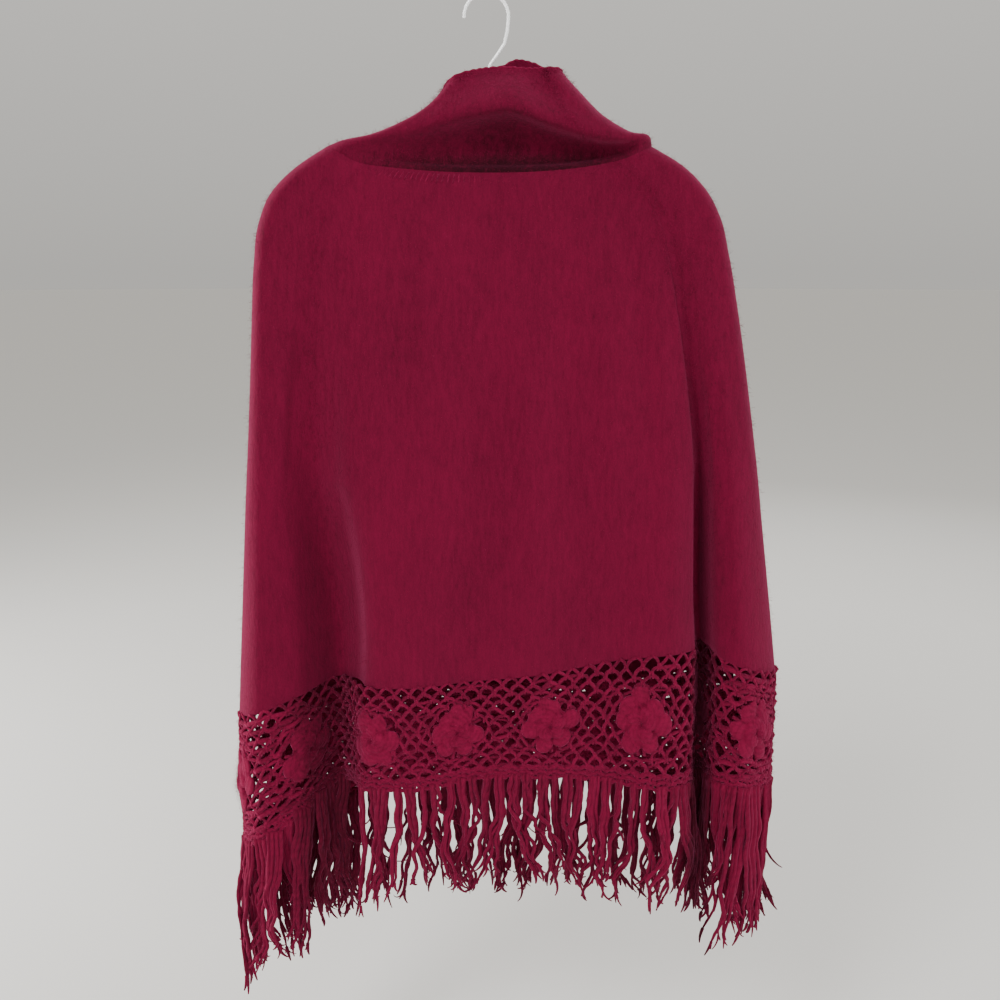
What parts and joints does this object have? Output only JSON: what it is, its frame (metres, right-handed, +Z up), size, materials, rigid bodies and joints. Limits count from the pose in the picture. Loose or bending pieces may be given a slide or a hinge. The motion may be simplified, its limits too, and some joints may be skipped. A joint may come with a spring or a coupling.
{
  "type": "knitted poncho on a wire hanger",
  "caption": "Knitted cowl-neck poncho with a crochet flower border and long fringe, hanging front-on from a coated wire hanger.",
  "frame": {"origin": "highest point inside the hanger's hook, where the hanger hangs on a hook or rail", "axes": "+Z up, +X to the right of someone facing the poncho's front, which looks along -Y"},
  "size_m": [0.5643, 0.1193, 1.029],
  "materials": {
    "alpaca_knit": "brushed wine-red alpaca knit, matte with a soft nap",
    "crochet_yarn": "crocheted alpaca yarn, matte and slightly fuzzy",
    "fringe_yarn": "loose kinked alpaca yarn, matte",
    "coated_wire": "white plastic-coated wire, satin"
  },
  "bodies": {
    "root": {"body_front": "alpaca_knit", "body_back": "alpaca_knit", "collar": "alpaca_knit", "lace_front": "crochet_yarn", "lace_back": "crochet_yarn", "fringe_front": "fringe_yarn", "fringe_back": "fringe_yarn", "hanger": "coated_wire"}
  },
  "joints": []
}
